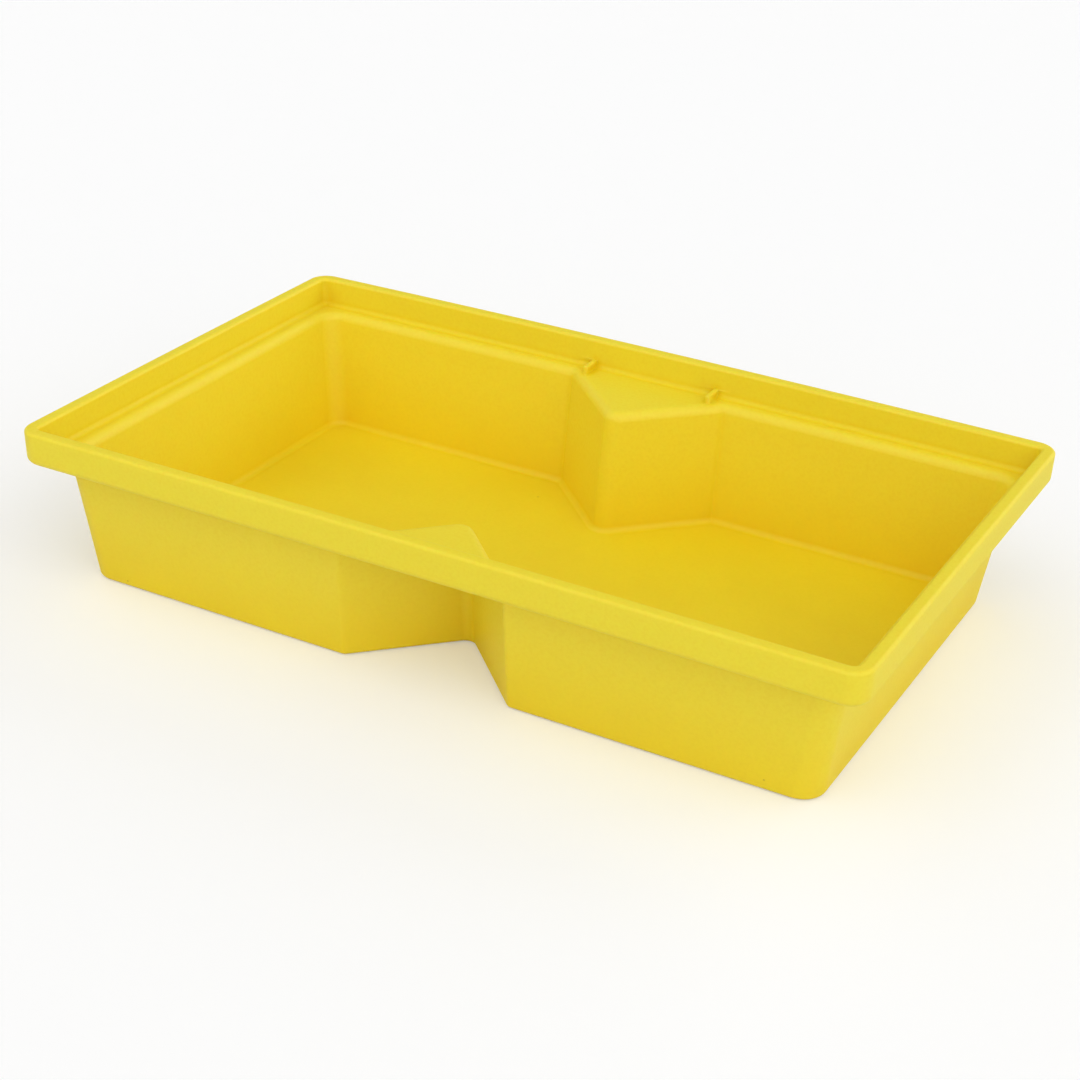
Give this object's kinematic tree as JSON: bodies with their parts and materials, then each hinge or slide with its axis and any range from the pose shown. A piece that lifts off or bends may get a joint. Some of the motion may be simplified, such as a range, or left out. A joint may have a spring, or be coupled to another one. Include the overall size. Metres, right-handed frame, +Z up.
{
  "type": "spill containment tray",
  "caption": "Rectangular one-piece plastic spill tray with drafted walls, a stepped raised rim and a hollow V-shaped pier on each long side.",
  "frame": {"origin": "centre of the tray's underside, on the ground plane", "axes": "+X along the long side, +Y across the tray, +Z up"},
  "size_m": [1, 0.6, 0.19],
  "materials": {
    "tray": "satin yellow moulded polyethylene"
  },
  "bodies": {
    "root": {"tray": "tray"}
  },
  "joints": []
}
